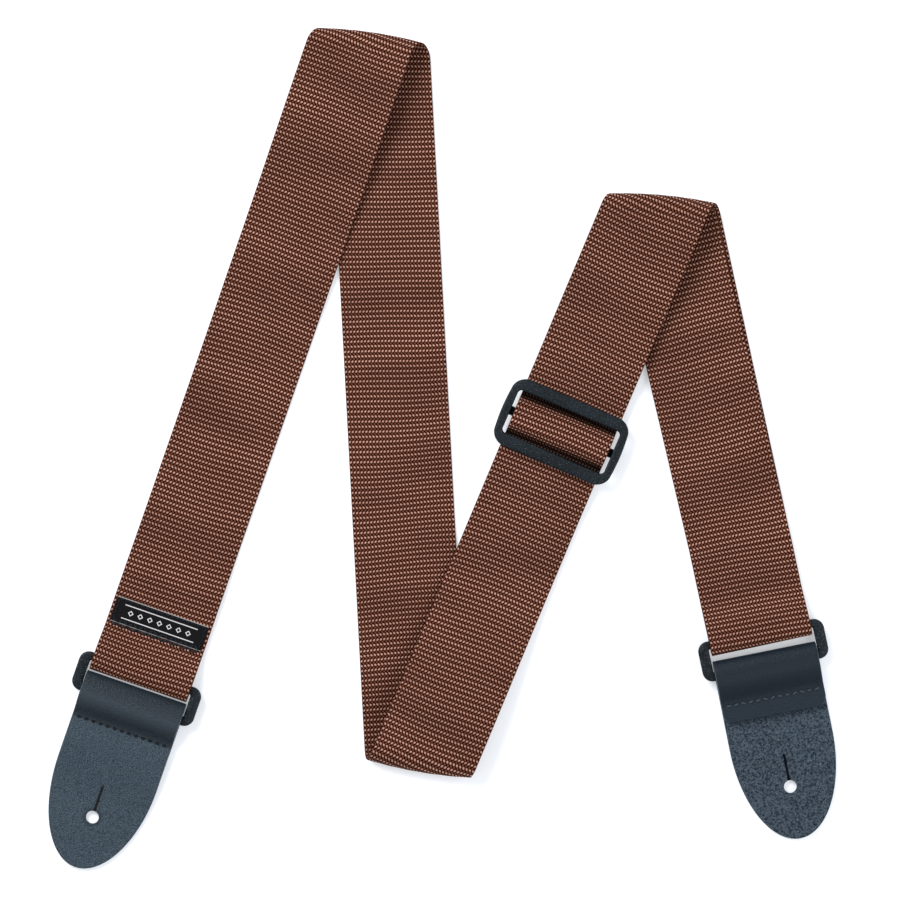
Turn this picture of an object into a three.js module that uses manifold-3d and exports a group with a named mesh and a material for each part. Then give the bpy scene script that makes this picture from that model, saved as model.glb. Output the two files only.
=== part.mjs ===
// Adjustable guitar strap: one band of woven webbing laid out in three oblique folds on a flat surface.
// It has a three-bar slider, and a rectangular ring and a leather end at each end.
// Millimetres, +Z up, the surface at z = 0.
import * as THREE from "three";
import { mergeVertices } from "three/addons/utils/BufferGeometryUtils.js";
import Module from "manifold-3d";

const wasm = await Module();
wasm.setup();

// ---- Driving dimensions ----

const WEB_WIDTH = 50.8;
const WEB = 1.5; // thickness of the webbing
const GAP = 0.3; // clearance between pieces that lie on each other
const LAYER = WEB + GAP;
const HALF = WEB / 2;

const STRAP_AT = [-0.418, -0.502]; // puts the middle of the whole outline within 0.2 mm of the origin
// Where the band lies: ring A's webbing-side bar, and the ends of the straight legs at the three folds.
const RING_A_AT = [-148.2, -110.5];
const FOLD_1_IN = [-40.8, 198.6];
const FOLD_2_IN = [-12.6, -150.6];
const FOLD_3_IN = [104.6, 117.4];
const RING_B_AT = [157.5, -91.2];
const LEG_ANGLES = [19.15, 3.03, 22.73, 12.4]; // degrees off the Y axis
const FOLD_RADII = [6.5, 6, 6.8]; // at the middle of the webbing
const FOLD_SHIFTS = [9.8, 4.7, 7.8]; // how far the band moves along each fold line as it rolls over
const FOLD_CROWN = 1.6; // how far the middle of a fold bulges beyond its ends
const RETURN_SHIFT = 5; // the same shift for the return run, inside fold 3
const RAMP = 100; // a folded leg comes down to the leg under it over this distance
const CLEAR = 114; // and is past that leg at this distance
const CLEAR_EASE = 30; // then comes down to the surface over this distance

const RING_Z = 5.1; // height of both rings' middle plane
const RING_SIZE = [63.5, 20];
const RING_BAR = 4;
const RING_END = 5.4;
const RING_THICK = 3.8;
const RING_PITCH = RING_SIZE[1] - RING_BAR; // between the axes of a ring's two bars
const RING_CORNER = 5;
const RING_WINDOW_CORNER = 1;
const RING_B_TURN = 12.1; // degrees

const LOOP_ROOM = 2.7; // half the height inside a loop round a ring's bar
const LOOP_A_REACH = 6.5; // from the bar's axis to the outside of the webbing's fold
const LOOP_B_REACH = 5.8;
const LOOP_A_UNDER = 38; // length of the webbing's sewn end, under leg 1
const LOOP_LENGTH = 44; // where the loop's own solid ends
const LOOP_CLOSED = 20; // where the loop's two layers lie together
const LOOP_OVER_BAR = 3.5; // the loop stays open to here, past the bar's axis
const LOOP_A_EASE = 30; // leg 1 comes down off its sewn end over this distance

const LEATHER = 2.4; // thickness
const LEATHER_WIDTH = 52;
const LEATHER_LENGTH = 94.6; // from fold to tip
const LEATHER_STRAIGHT = 45.2; // from fold to where the tip's curve begins
const LEATHER_FLAP = 32;
const LEATHER_CLOSED = 21.9; // from the fold to where its two layers lie together
const LEATHER_OVER_BAR = 3.2; // it stays open to here, past the bar's axis
const LEATHER_EASE = 32; // the upper layer comes down off the flap over this distance
const LEATHER_A_REACH = 8.9;
const LEATHER_B_REACH = 7.4;
const LEATHER_B_TURN = -0.8; // degrees against ring B
const BUTTON_HOLE = 6.4; // diameter
const HOLE_FROM_FOLD = 68.5;
const SLIT_FROM_FOLD = 52;
const SLIT_WIDTH = 0.6;
const STITCH_FROM_FOLD = 23.3;
const STITCH_LENGTH = 45;
const THREAD = 0.8;

const LABEL_SIZE = [47.6, 12.8];
const LABEL_THICK = 0.6;
const LABEL_FROM_BAR = 26;
const LABEL_SEAM_IN = 0.8; // the seam's distance from the label's edge
const SEAM_THICK = 0.4;

const SLIDER_SIZE = [63.4, 35.2];
const SLIDER_END = 4.4;
const SLIDER_BULGE = 1.5;
const SLIDER_BAR = 6.3;
const SLIDER_THICK = 3.6;
const SLIDER_CORNER = 6.5;
const SLIDER_Z = 5.8; // underside of the outer bars
const CENTRE_BAR = [4.6, 2.8];
const CENTRE_BAR_Z = 5.2;
const SLIDER_FROM_FOLD = 117.6; // its centre, from fold 3
const SLIDER_TURN = -0.6; // degrees against the webbing
const HUMP_BELOW = 46; // the stretch of webbing that moves with the slider
const HUMP_ABOVE = 26;
const HUMP_RISE = 14; // beyond the hump, leg 3 rises over leg 4 in this length
const LEVEL_LENGTH = 26; // leg 3 is level again for this length before the hump
const HUMP_SLACK = 0.5; // the webbing stands off the layer inside it by this much
const CLIMB = 10.8; // from the slider's centre line to where the webbing is down under an outer bar
const CLIMB_LOW = 9.4; // the same, on the side the band's end doesn't lie on
const TAIL_LENGTH = 24;
const TAIL_Z = 1.15; // height of its middle
const BAR_FLAT = 2.2; // half the length of the inner layer that lies level over the centre bar
const HUMP_FLAT = 3.2; // the same for the outer layer
const TAIL_CLIMB = 9.6; // where the inner layer is down
const TAIL_DOWN = 11; // where the sewn end is down
const TAIL_SEAM_AT = 19;

const BROWN = 0x6a3d33;
const BLACK = 0x20262a;
const LEATHER_BLACK = 0x343c42;

// ---- Small helpers ----

const radians = THREE.MathUtils.degToRad;
const lerp = THREE.MathUtils.lerp;
const flat = (p) => new THREE.Vector2(...p);
const heading = (degrees) => new THREE.Vector2(Math.sin(radians(degrees)), Math.cos(radians(degrees)));
const across = (d) => new THREE.Vector2(d.y, -d.x); // the right-hand side of a direction

// From a to b as x goes from x0 to x1, level at both ends.
const ease = (x, x0, x1, a, b) => lerp(a, b, THREE.MathUtils.smoothstep(x, x0, x1));

function solid(geometry) {
  const bare = geometry.index ? geometry.toNonIndexed() : geometry.clone();
  bare.deleteAttribute("normal");
  bare.deleteAttribute("uv");
  const merged = mergeVertices(bare, 1e-4);
  return new wasm.Manifold(
    new wasm.Mesh({
      numProp: 3,
      vertProperties: merged.attributes.position.array,
      triVerts: new Uint32Array(merged.index.array),
    }),
  );
}

function geometryOf(manifold) {
  const mesh = manifold.getMesh();
  return new THREE.BufferGeometry()
    .setAttribute("position", new THREE.BufferAttribute(new Float32Array(mesh.vertProperties), 3))
    .setIndex(new THREE.BufferAttribute(new Uint32Array(mesh.triVerts), 1));
}

function piece(name, geometry, color, roughness) {
  geometry.computeVertexNormals();
  const mesh = new THREE.Mesh(geometry, new THREE.MeshStandardMaterial({ color, roughness, metalness: 0 }));
  mesh.name = name;
  return mesh;
}

const webbing = (name, geometry) => piece(name, geometry, BROWN, 0.85);
const plastic = (name, geometry) => piece(name, geometry, BLACK, 0.5);
const leather = (name, geometry) => piece(name, geometry, LEATHER_BLACK, 0.6);
const thread = (name, geometry) => piece(name, geometry, BLACK, 0.8);

function placed(geometry, x, y, z) {
  return geometry.translate(x, y, z);
}

// A frame on the surface: its Y axis runs along the band, off the world's Y axis by the heading's degrees.
function frame(at, degrees) {
  const group = new THREE.Group();
  group.position.set(at.x, at.y, 0);
  group.rotation.z = -radians(degrees);
  return group;
}

// ---- The band's flat legs and rolled folds ----

// A line across the band: a point on its middle, and a unit direction.
const line = (point, along) => ({ point, along });

// Where the band's thread at v meets a line, for a leg through `from` in direction d with its width along c.
function meet(from, d, c, v, edge) {
  const normal = across(edge.along);
  const start = from.clone().addScaledVector(c, v);
  const t = edge.point.clone().sub(start).dot(normal) / d.dot(normal);
  return start.addScaledVector(d, t);
}

// A slab whose local x, y and z become v across the band, s along it from 0 to 1, and a height off its
// middle.
function slab(surface, stepsAcross, stepsAlong) {
  const box = new THREE.BoxGeometry(WEB_WIDTH, 1, WEB, stepsAcross, stepsAlong, 1);
  const position = box.attributes.position;
  const small = 1e-3;
  const normal = new THREE.Vector3();
  for (let i = 0; i < position.count; i++) {
    const v = position.getX(i);
    const s = position.getY(i) + 0.5;
    const alongV = surface(v + small, s).sub(surface(v - small, s));
    const alongS = surface(v, Math.min(s + small, 1)).sub(surface(v, Math.max(s - small, 0)));
    normal.crossVectors(alongV, alongS).normalize();
    const p = surface(v, s).addScaledVector(normal, position.getZ(i));
    position.setXYZ(i, p.x, p.y, p.z);
  }
  return box;
}

// side is 1 where the band's face is up, and -1 where it is down. height(a, b) is the middle's height at the
// distances a and b from the leg's start and end lines.
function leg(start, end, side, height, steps) {
  const d = end.point.clone().sub(start.point).normalize();
  const c = across(d).multiplyScalar(side);
  const far = (p, edge) => Math.abs(p.clone().sub(edge.point).dot(across(edge.along)));
  const surface = (v, s) => {
    const a = meet(start.point, d, c, v, start).addScaledVector(d, GAP / 2);
    const b = meet(start.point, d, c, v, end).addScaledVector(d, -GAP / 2);
    const p = a.lerp(b, s);
    return new THREE.Vector3(p.x, p.y, height(far(p, start), far(p, end)));
  };
  return slab(surface, 1, steps);
}

// The half roll between a leg in direction dIn that ends on `into` and a leg in direction dOut that starts on
// `out`, both on one line. zIn and zOut are the heights of the two legs' middles.
function roll(into, dIn, out, dOut, side, zIn, zOut) {
  const f = into.along;
  const outward = across(f);
  if (outward.dot(dIn) < 0) outward.negate();
  const cIn = across(dIn).multiplyScalar(side);
  const cOut = across(dOut).multiplyScalar(-side);
  const radius = Math.abs(zIn - zOut) / 2;
  const length = Math.PI * radius;
  const slopeIn = (dIn.dot(f) / dIn.dot(outward)) * length;
  const slopeOut = (-dOut.dot(f) / dOut.dot(outward)) * length;
  const surface = (v, s) => {
    const t = lerp(GAP / 2, length - GAP / 2, s) / length;
    const from = meet(into.point, dIn, cIn, v, into).sub(into.point).dot(f);
    const to = meet(out.point, dOut, cOut, v, out).sub(into.point).dot(f);
    const shift =
      from * (2 * t ** 3 - 3 * t ** 2 + 1) +
      slopeIn * (t ** 3 - 2 * t ** 2 + t) +
      to * (3 * t ** 2 - 2 * t ** 3) +
      slopeOut * (t ** 3 - t ** 2);
    const crown = FOLD_CROWN * (1 - ((2 * v) / WEB_WIDTH) ** 2) * Math.sin(Math.PI * t) ** 2;
    const p = into.point
      .clone()
      .addScaledVector(f, shift)
      .addScaledVector(outward, radius * Math.sin(Math.PI * t) + crown);
    return new THREE.Vector3(p.x, p.y, lerp(zIn, zOut, (1 - Math.cos(Math.PI * t)) / 2));
  };
  return slab(surface, 6, 12);
}

// ---- Bands bent in side view, and extruded across ----

// A closed outline round a line of [y, z] points, half the thickness to each side.
function bandOutline(points, thickness) {
  const path = points.map(([y, z]) => new THREE.Vector2(y, z));
  const offset = (sign) =>
    path.map((p, i) => {
      const before = path[Math.max(i - 1, 0)];
      const after = path[Math.min(i + 1, path.length - 1)];
      const t = after.clone().sub(before).normalize();
      return new THREE.Vector2(p.x - (t.y * sign * thickness) / 2, p.y + (t.x * sign * thickness) / 2);
    });
  return new THREE.Shape([...offset(1), ...offset(-1).reverse()]);
}

// Extrudes an outline in the local YZ plane by a width along X, centred on it.
function acrossX(shape, width) {
  const made = new THREE.ExtrudeGeometry(shape, { depth: width, bevelEnabled: false });
  made.rotateY(Math.PI / 2);
  made.rotateX(Math.PI / 2);
  return made.translate(-width / 2, 0, 0);
}

// Points [y, z] with y from y0 to y1 and the height given by a function.
function sampled(y0, y1, steps, height) {
  return Array.from({ length: steps + 1 }, (_, i) => {
    const y = lerp(y0, y1, i / steps);
    return [y, height(y)];
  });
}

// Half an ellipse round (0, z), from its top or its underside, past y = -reach, or y = +reach if reach < 0.
function halfTurn(z, reach, room, fromTop, steps) {
  const sign = fromTop ? 1 : -1;
  return Array.from({ length: steps - 1 }, (_, i) => {
    const angle = (Math.PI * (i + 1)) / steps;
    return [-reach * Math.sin(angle), z + sign * room * Math.cos(angle)];
  });
}

// A loop round a ring's bar at y = 0: in over the top from y = topEnd, round y = -reach, and out underneath
// to y = underEnd.
function loopPath(reach, room, topEnd, underEnd) {
  const top = (y) => ease(y, LOOP_OVER_BAR, LOOP_CLOSED, RING_Z + room, overLeg);
  const under = (y) => ease(y, LOOP_OVER_BAR, LOOP_CLOSED, RING_Z - room, HALF);
  return [
    ...sampled(topEnd, LOOP_OVER_BAR, 10, top),
    [0, RING_Z + room],
    ...halfTurn(RING_Z, reach, room, true, 10),
    [0, RING_Z - room],
    ...sampled(LOOP_OVER_BAR, underEnd, 10, under),
  ];
}

// ---- Hardware ----

function roundedBox(width, height, radius) {
  const [x, y] = [width / 2, height / 2];
  return new THREE.Shape()
    .moveTo(-x + radius, -y)
    .lineTo(x - radius, -y)
    .absarc(x - radius, -y + radius, radius, -Math.PI / 2, 0)
    .lineTo(x, y - radius)
    .absarc(x - radius, y - radius, radius, 0, Math.PI / 2)
    .lineTo(-x + radius, y)
    .absarc(-x + radius, y - radius, radius, Math.PI / 2, Math.PI)
    .lineTo(-x, -y + radius)
    .absarc(-x + radius, -y + radius, radius, Math.PI, 1.5 * Math.PI);
}

function moulded(shape, thickness, bevel) {
  return new THREE.ExtrudeGeometry(shape, {
    depth: thickness - 2 * bevel,
    bevelThickness: bevel,
    bevelSize: bevel,
    bevelOffset: -bevel,
    bevelSegments: 2,
    curveSegments: 6,
  }).translate(0, 0, bevel - thickness / 2);
}

function ring() {
  const shape = roundedBox(...RING_SIZE, RING_CORNER);
  shape.holes.push(roundedBox(RING_SIZE[0] - 2 * RING_END, RING_SIZE[1] - 2 * RING_BAR, RING_WINDOW_CORNER));
  return moulded(shape, RING_THICK, 0.8);
}

// The slider's outline: straight outer bars, and ends that bulge between their rounded corners.
function sliderOutline() {
  const [x, y, r] = [SLIDER_SIZE[0] / 2, SLIDER_SIZE[1] / 2, SLIDER_CORNER];
  const side = x - SLIDER_BULGE;
  return new THREE.Shape()
    .moveTo(-side + r, -y)
    .lineTo(side - r, -y)
    .absarc(side - r, -y + r, r, -Math.PI / 2, -0.15)
    .quadraticCurveTo(x + SLIDER_BULGE, 0, side - r + r * Math.cos(0.15), y - r + r * Math.sin(0.15))
    .absarc(side - r, y - r, r, 0.15, Math.PI / 2)
    .lineTo(-side + r, y)
    .absarc(-side + r, y - r, r, Math.PI / 2, Math.PI - 0.15)
    .quadraticCurveTo(-x - SLIDER_BULGE, 0, -side + r - r * Math.cos(0.15), -y + r - r * Math.sin(0.15))
    .absarc(-side + r, -y + r, r, Math.PI + 0.15, 1.5 * Math.PI);
}

function slider() {
  const window = [SLIDER_SIZE[0] - 2 * SLIDER_END, SLIDER_SIZE[1] - 2 * SLIDER_BAR];
  const shape = sliderOutline();
  shape.holes.push(roundedBox(...window, 2));
  const rim = placed(moulded(shape, SLIDER_THICK, 0.7), 0, 0, SLIDER_Z + SLIDER_THICK / 2);
  const barLength = window[0] + SLIDER_END;
  const bar = acrossX(roundedBox(...CENTRE_BAR, 1.1), barLength).translate(0, 0, CENTRE_BAR_Z);
  let made = solid(rim).add(solid(bar));
  const low = CENTRE_BAR_Z - CENTRE_BAR[1] / 2;
  const lug = [SLIDER_END - 1.2, 2 * CENTRE_BAR[0], SLIDER_Z + 1 - low];
  for (const sign of [-1, 1]) {
    const x = (sign * (window[0] + SLIDER_END)) / 2;
    made = made.add(solid(placed(new THREE.BoxGeometry(...lug), x, 0, low + lug[2] / 2)));
  }
  return geometryOf(made);
}

// ---- Leather ends ----

// In a frame with the ring's outer bar along X at y = 0 and the tip towards -Y. flapUnder says which layer is
// the short one: the flap under the tab, or on it.
function leatherEnd(reach, flapUnder) {
  const room = LOOP_ROOM + LEATHER / 2;
  const low = LEATHER / 2;
  const high = low + LEATHER + GAP;
  const closed = LEATHER_CLOSED - reach;
  const flapEnd = LEATHER_FLAP - reach;
  const tip = LEATHER_LENGTH - reach + 2;
  const near = LEATHER_OVER_BAR;
  const down = flapEnd + LEATHER_EASE;
  const step = flapUnder ? high - low : 0;
  const upper = (y) => ease(y, near, closed, RING_Z + room, high) - ease(y, flapEnd, down, 0, step);
  const lower = () => low;
  const topEnd = flapUnder ? tip : flapEnd;
  const underEnd = flapUnder ? flapEnd : tip;
  const topSteps = flapUnder ? 24 : 12;
  const path = [
    ...sampled(topEnd, near, topSteps, upper),
    [0, RING_Z + room],
    ...halfTurn(RING_Z, reach - LEATHER / 2, room, true, 12),
    [0, RING_Z - room],
    ...sampled(near, underEnd, 2, lower),
  ].map(([y, z]) => [-y, z]);
  const folded = solid(acrossX(bandOutline(path.reverse(), LEATHER), LEATHER_WIDTH));
  const half = LEATHER_WIDTH / 2;
  const foldY = reach;
  const straightY = foldY - LEATHER_STRAIGHT;
  const tongue = new THREE.Shape()
    .moveTo(half, foldY + 1)
    .lineTo(-half, foldY + 1)
    .lineTo(-half, straightY)
    .absellipse(0, straightY, half, LEATHER_LENGTH - LEATHER_STRAIGHT, Math.PI, 2 * Math.PI);
  const height = 4 * RING_Z;
  const sheet = { depth: height, bevelEnabled: false, curveSegments: 36 };
  const outline = new THREE.ExtrudeGeometry(tongue, sheet);
  const hole = new THREE.CylinderGeometry(BUTTON_HOLE / 2, BUTTON_HOLE / 2, height, 24);
  hole.rotateX(Math.PI / 2).translate(0, foldY - HOLE_FROM_FOLD, 0);
  const slitLength = HOLE_FROM_FOLD - SLIT_FROM_FOLD;
  const slit = new THREE.BoxGeometry(SLIT_WIDTH, slitLength, height);
  slit.translate(0, foldY - SLIT_FROM_FOLD - slitLength / 2, 0);
  const cut = solid(outline.translate(0, 0, -1));
  return geometryOf(folded.intersect(cut).subtract(solid(hole)).subtract(solid(slit)));
}

// ---- Assembly ----

const strap = new THREE.Group();
strap.position.set(...STRAP_AT, 0);

// The legs' directions, and the fold lines, which bisect them.
const [up1, down2, up3, down4] = LEG_ANGLES.map((degrees, i) => heading(i % 2 ? 180 - degrees : degrees));
const foldLine = (a, b) => a.clone().add(b).normalize();
const foldIn = [FOLD_1_IN, FOLD_2_IN, FOLD_3_IN].map((p, i) => {
  const [a, b] = [[up1, down2], [down2, up3], [up3, down4]][i];
  return line(flat(p), foldLine(a, b));
});
const shifted = (edge, by) => line(edge.point.clone().addScaledVector(edge.along, by), edge.along);
const foldOut = foldIn.map((edge, i) => shifted(edge, FOLD_SHIFTS[i]));

// Frames at the two rings' webbing-side bars, and at the slider. Y runs up the strap, away from the ring.
const ringA = frame(flat(RING_A_AT), LEG_ANGLES[0]);
const ringB = frame(flat(RING_B_AT), -RING_B_TURN);
const sliderAt = foldIn[2].point.clone().addScaledVector(up3, -SLIDER_FROM_FOLD);
const sliderFrame = frame(sliderAt, LEG_ANGLES[2]);
strap.add(ringA, ringB, sliderFrame);

// Lines across the band where the loops and the hump end.
const loopEndA = line(flat(RING_A_AT).addScaledVector(up1, LOOP_LENGTH), across(up1));
const upB = heading(-RING_B_TURN);
const loopEndB = line(flat(RING_B_AT).addScaledVector(upB, LOOP_LENGTH), across(upB));
const humpLow = line(sliderAt.clone().addScaledVector(up3, -HUMP_BELOW), across(up3));
const humpHigh = line(sliderAt.clone().addScaledVector(up3, HUMP_ABOVE), across(up3));

// Heights of the band's middle.
const topOf = (radius) => HALF + 2 * radius;
const overLeg = HALF + LAYER;
const returnTop = topOf(FOLD_RADII[2]) - LAYER;
const fromFold = (d, top, rest) =>
  ease(d, 0, RAMP, top, overLeg) - ease(d, CLEAR, CLEAR + CLEAR_EASE, 0, overLeg - rest);
const returnZ = TAIL_Z + LAYER;
const humpZ = returnZ + LAYER;
const notch = SLIDER_FROM_FOLD - HUMP_ABOVE; // from fold 3 to the hump
const leg3Rise = (fromFold3, fromHump, low, top) =>
  ease(fromFold3, 0, notch - LEVEL_LENGTH, top, low + LAYER) - ease(fromHump, 0, HUMP_RISE, LAYER, 0);

// Leg 1, with the loop round ring A sewn under it.
const loopRoom = LOOP_ROOM + HALF;
const loopEnd = LOOP_LENGTH - GAP / 2;
const loopA = loopPath(LOOP_A_REACH - HALF, loopRoom, loopEnd, LOOP_A_UNDER);
const leg1Height = (fromLoop, fromFold1) =>
  fromFold(fromFold1, topOf(FOLD_RADII[0]), HALF) + ease(fromLoop, 0, LOOP_A_EASE, LAYER, 0);
const leg3Lower = (d) => ease(d, 0, RAMP, topOf(FOLD_RADII[1]), overLeg);
const leg3Upper = (a, b) => leg3Rise(b, a, humpZ, topOf(FOLD_RADII[2]));
ringA.add(webbing("webbing_loop_a", acrossX(bandOutline(loopA, WEB), WEB_WIDTH)));
strap.add(
  webbing("webbing_leg_1", leg(loopEndA, foldIn[0], 1, leg1Height, 48)),
  webbing("webbing_fold_1", roll(foldIn[0], up1, foldOut[0], down2, 1, topOf(FOLD_RADII[0]), HALF)),
  webbing("webbing_leg_2", leg(foldOut[0], foldIn[1], -1, () => HALF, 1)),
  webbing("webbing_fold_2", roll(foldIn[1], down2, foldOut[1], up3, -1, HALF, topOf(FOLD_RADII[1]))),
  webbing("webbing_leg_3_lower", leg(foldOut[1], humpLow, 1, leg3Lower, 24)),
  webbing("webbing_leg_3_upper", leg(humpHigh, foldIn[2], 1, leg3Upper, 30)),
  webbing("webbing_fold_3", roll(foldIn[2], up3, foldOut[2], down4, 1, topOf(FOLD_RADII[2]), HALF)),
  webbing("webbing_leg_4", leg(foldOut[2], loopEndB, -1, () => HALF, 1)),
);

// The return run, from ring B over leg 4, inside fold 3 and under leg 3 to the slider.
const returnIn = shifted(foldIn[2], RETURN_SHIFT);
const upReturn = returnIn.point.clone().sub(loopEndB.point).normalize();
const downReturn = humpHigh.point.clone().sub(foldIn[2].point).normalize();
const return3 = (a, b) => leg3Rise(a, b, returnZ, returnTop);
strap.add(
  webbing("webbing_return_leg_4", leg(loopEndB, returnIn, 1, () => overLeg, 1)),
  webbing("webbing_return_fold", roll(returnIn, upReturn, foldIn[2], downReturn, 1, overLeg, returnTop)),
  webbing("webbing_return_leg_3", leg(foldIn[2], humpHigh, -1, return3, 30)),
);

// Ring A, its leather end and the label over the seam.
const label = new THREE.BoxGeometry(...LABEL_SIZE, LABEL_THICK);
const labelZ = overLeg + HALF + GAP / 2 + LABEL_THICK / 2;
const seamSize = LABEL_SIZE.map((side) => side - 2 * LABEL_SEAM_IN);
const seamShape = roundedBox(...seamSize, THREAD);
seamShape.holes.push(roundedBox(...seamSize.map((side) => side - 2 * THREAD), THREAD / 2));
const seamSheet = { depth: SEAM_THICK, bevelEnabled: false, curveSegments: 2 };
const labelSeam = new THREE.ExtrudeGeometry(seamShape, seamSheet);
const labelTop = labelZ + LABEL_THICK / 2 + GAP / 3;
ringA.add(
  piece("label", placed(label, 0, LABEL_FROM_BAR, labelZ), BLACK, 0.8),
  thread("label_stitching", placed(labelSeam, 0, LABEL_FROM_BAR, labelTop)),
  plastic("ring_a", placed(ring(), 0, -RING_PITCH / 2, RING_Z)),
);

const seam = () => new THREE.BoxGeometry(STITCH_LENGTH, THREAD, SEAM_THICK);
const seamZ = LEATHER + GAP + LEATHER + GAP / 3 + SEAM_THICK / 2;
function leatherPieces(letter, reach, flapUnder, turn) {
  const group = new THREE.Group();
  group.position.y = -RING_PITCH;
  group.rotation.z = radians(turn);
  group.add(
    leather("leather_end_" + letter, leatherEnd(reach, flapUnder)),
    thread("leather_stitching_" + letter, placed(seam(), 0, reach - STITCH_FROM_FOLD, seamZ)),
  );
  return group;
}
ringA.add(leatherPieces("a", LEATHER_A_REACH, true, 0));

// Ring B, in the band's far loop.
const loopB = loopPath(LOOP_B_REACH - HALF, loopRoom, loopEnd, loopEnd);
ringB.add(
  webbing("webbing_loop_b", acrossX(bandOutline(loopB, WEB), WEB_WIDTH)),
  plastic("ring_b", placed(ring(), 0, -RING_PITCH / 2, RING_Z)),
  leatherPieces("b", LEATHER_B_REACH, false, LEATHER_B_TURN),
);

// The slider, the webbing that humps over its centre bar, and the band's end sewn round that bar.
const overBar = CENTRE_BAR_Z + CENTRE_BAR[1] / 2 + GAP + HALF;
const humpTop = overBar + LAYER + HUMP_SLACK;
const humpLowEnd = (y) => ease(y, -HUMP_BELOW + 2, -20, overLeg, humpZ);
const humpOver = (y) => ease(Math.abs(y), HUMP_FLAT, y < 0 ? CLIMB_LOW : CLIMB, humpTop, humpZ);
const humpPath = [
  ...sampled(-HUMP_BELOW + GAP / 2, -CLIMB_LOW, 12, humpLowEnd),
  ...sampled(-CLIMB_LOW + 1, CLIMB - 1, 24, humpOver),
  ...sampled(CLIMB, HUMP_ABOVE - GAP / 2, 2, () => humpZ),
];
const wrapReach = CENTRE_BAR[0] / 2 + 3 * GAP + HALF;
const wrapRoom = overBar - CENTRE_BAR_Z;
const under = CENTRE_BAR_Z - wrapRoom;
const tailPath = [
  ...sampled(HUMP_ABOVE - GAP / 2, CLIMB, 2, () => returnZ),
  ...sampled(CLIMB - 1, 1, 11, (y) => ease(y, BAR_FLAT, TAIL_CLIMB, overBar, returnZ)),
  [0, overBar],
  ...halfTurn(CENTRE_BAR_Z, wrapReach, wrapRoom, true, 10),
  [0, under],
  ...sampled(BAR_FLAT, TAIL_LENGTH, 10, (y) => ease(y, BAR_FLAT, TAIL_DOWN, under, TAIL_Z)),
];
const frameOnly = new THREE.Group();
frameOnly.rotation.z = radians(SLIDER_TURN);
frameOnly.add(plastic("slider", slider()));
const tailSeam = new THREE.BoxGeometry(STITCH_LENGTH, THREAD, GAP);
sliderFrame.add(
  frameOnly,
  webbing("webbing_hump", acrossX(bandOutline(humpPath, WEB), WEB_WIDTH)),
  webbing("webbing_tail", acrossX(bandOutline(tailPath, WEB), WEB_WIDTH)),
  thread("tail_stitching", placed(tailSeam, 0, TAIL_SEAM_AT, GAP / 2)),
);

export default strap;
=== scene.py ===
# Adjustable guitar strap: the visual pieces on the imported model, as an add-on. One operator makes each group
# of like pieces. Lengths in the working functions are in millimetres, and a mesh is made in metres.
import math

import bmesh
import bpy
import numpy as np
from mathutils import Matrix, Vector


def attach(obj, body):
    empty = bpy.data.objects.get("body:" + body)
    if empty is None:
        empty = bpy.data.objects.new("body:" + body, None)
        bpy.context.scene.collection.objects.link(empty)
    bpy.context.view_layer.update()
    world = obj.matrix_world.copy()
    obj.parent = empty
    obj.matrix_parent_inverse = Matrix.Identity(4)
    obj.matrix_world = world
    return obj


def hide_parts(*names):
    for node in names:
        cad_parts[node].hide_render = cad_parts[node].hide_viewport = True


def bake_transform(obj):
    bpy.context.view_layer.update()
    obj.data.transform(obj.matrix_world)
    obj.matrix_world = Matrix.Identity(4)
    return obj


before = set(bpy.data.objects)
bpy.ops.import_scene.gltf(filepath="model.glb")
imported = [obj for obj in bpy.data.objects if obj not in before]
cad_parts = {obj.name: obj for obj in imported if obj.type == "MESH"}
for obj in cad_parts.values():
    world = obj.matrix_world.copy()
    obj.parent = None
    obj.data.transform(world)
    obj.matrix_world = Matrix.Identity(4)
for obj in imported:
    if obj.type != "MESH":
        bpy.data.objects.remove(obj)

bl_info = {
    "name": "Guitar Strap",
    "version": (1, 0, 0),
    "blender": (4, 5, 0),
    "location": "View3D > Sidebar > Strap",
    "description": "Builds a folded webbing strap with its slider, rings, leather ends and label",
    "category": "Object",
}

# ---- The frame's dimensions, in millimetres, the same as the solid model's ----

WEB_WIDTH = 50.8
WEB = 1.5
GAP = 0.3
LAYER = WEB + GAP
HALF = WEB / 2
STRAP_AT = (-0.418, -0.502)
RING_A_AT = (-148.2, -110.5)
FOLDS_IN = ((-40.8, 198.6), (-12.6, -150.6), (104.6, 117.4))
RING_B_AT = (157.5, -91.2)
LEG_ANGLES = (19.15, 3.03, 22.73, 12.4)
FOLD_RADII = (6.5, 6, 6.8)
FOLD_SHIFTS = (9.8, 4.7, 7.8)
FOLD_CROWN = 1.6
RETURN_SHIFT = 5
RAMP = 100
CLEAR = 114
CLEAR_EASE = 30
RING_Z = 5.1
RING_SIZE = (63.5, 20)
RING_BAR = 4
RING_END = 5.4
RING_THICK = 3.8
RING_PITCH = RING_SIZE[1] - RING_BAR
RING_CORNER = 5
RING_WINDOW_CORNER = 1
RING_B_TURN = 12.1
LOOP_ROOM = 2.7
LOOP_A_REACH = 6.5
LOOP_B_REACH = 5.8
LOOP_A_UNDER = 38
LOOP_LENGTH = 44
LOOP_CLOSED = 20
LOOP_OVER_BAR = 3.5
LOOP_A_EASE = 30
LEATHER = 2.4
LEATHER_WIDTH = 52
LEATHER_LENGTH = 94.6
LEATHER_STRAIGHT = 45.2
LEATHER_FLAP = 32
LEATHER_CLOSED = 21.9
LEATHER_OVER_BAR = 3.2
LEATHER_EASE = 32
LEATHER_A_REACH = 8.9
LEATHER_B_REACH = 7.4
LEATHER_B_TURN = -0.8
BUTTON_HOLE = 6.4
HOLE_FROM_FOLD = 68.5
SLIT_FROM_FOLD = 52
LIPS_APART = 0.06  # the slit's two lips lie all but closed
STITCH_FROM_FOLD = 23.3
STITCH_LENGTH = 45
STITCH_PITCH = 3.7
STITCHES = 13
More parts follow.
